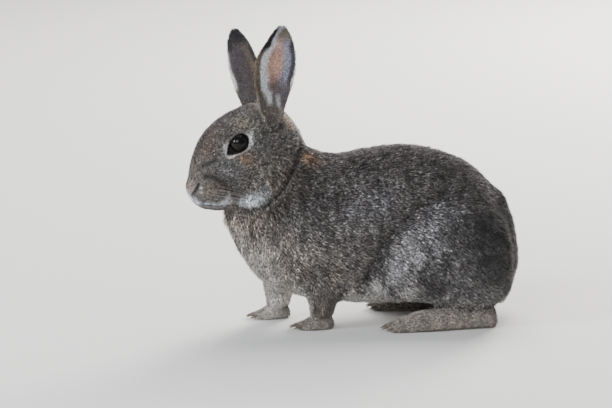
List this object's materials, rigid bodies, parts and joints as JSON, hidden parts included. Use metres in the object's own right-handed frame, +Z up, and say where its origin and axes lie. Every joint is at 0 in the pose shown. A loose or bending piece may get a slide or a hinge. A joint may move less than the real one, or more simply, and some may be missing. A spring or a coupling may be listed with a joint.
{
  "type": "rabbit",
  "caption": "Still, life-size model of a wild-coloured rabbit crouched on all fours, head up, ears raised, looking a little to its left.",
  "frame": {"origin": "on the floor, under the middle of the bounding box", "axes": "+Z up; the rabbit faces -X and its left side faces -Y; the longest extent, nose to rump, is along X and the shortest, across the haunches, is along Y"},
  "size_m": [0.2906, 0.122, 0.2666],
  "materials": {
    "coat_back": "short dense fur, grey-brown with fine dark and tan ticking, matt with a soft sheen",
    "coat_legs": "short paler grey-buff fur, whitish on the inner sides and the belly",
    "coat_ears": "very short brown fur with black rims and tips, thin pink-grey skin inside",
    "coat_tail": "fluffy fur, dark above and white beneath",
    "eye": "wet and glossy, dark brown iris round a large black pupil",
    "claw": "smooth dark horn"
  },
  "bodies": {
    "root": {"trunk": "coat_back", "neck": "coat_back", "head": "coat_back", "thigh_left": "coat_back", "thigh_right": "coat_back", "foreleg_left": "coat_legs", "foreleg_right": "coat_legs", "forepaw_left": "coat_legs", "forepaw_right": "coat_legs", "hind_foot_left": "coat_legs", "hind_foot_right": "coat_legs", "ear_left": "coat_ears", "ear_right": "coat_ears", "tail": "coat_tail", "eye_left": "eye", "eye_right": "eye", "forepaw_left_claw_1": "claw", "forepaw_left_claw_2": "claw", "forepaw_left_claw_3": "claw", "forepaw_left_claw_4": "claw", "forepaw_right_claw_1": "claw", "forepaw_right_claw_2": "claw", "forepaw_right_claw_3": "claw", "forepaw_right_claw_4": "claw", "hind_foot_left_claw_1": "claw", "hind_foot_left_claw_2": "claw", "hind_foot_left_claw_3": "claw", "hind_foot_left_claw_4": "claw", "hind_foot_right_claw_1": "claw", "hind_foot_right_claw_2": "claw", "hind_foot_right_claw_3": "claw", "hind_foot_right_claw_4": "claw"}
  },
  "joints": []
}
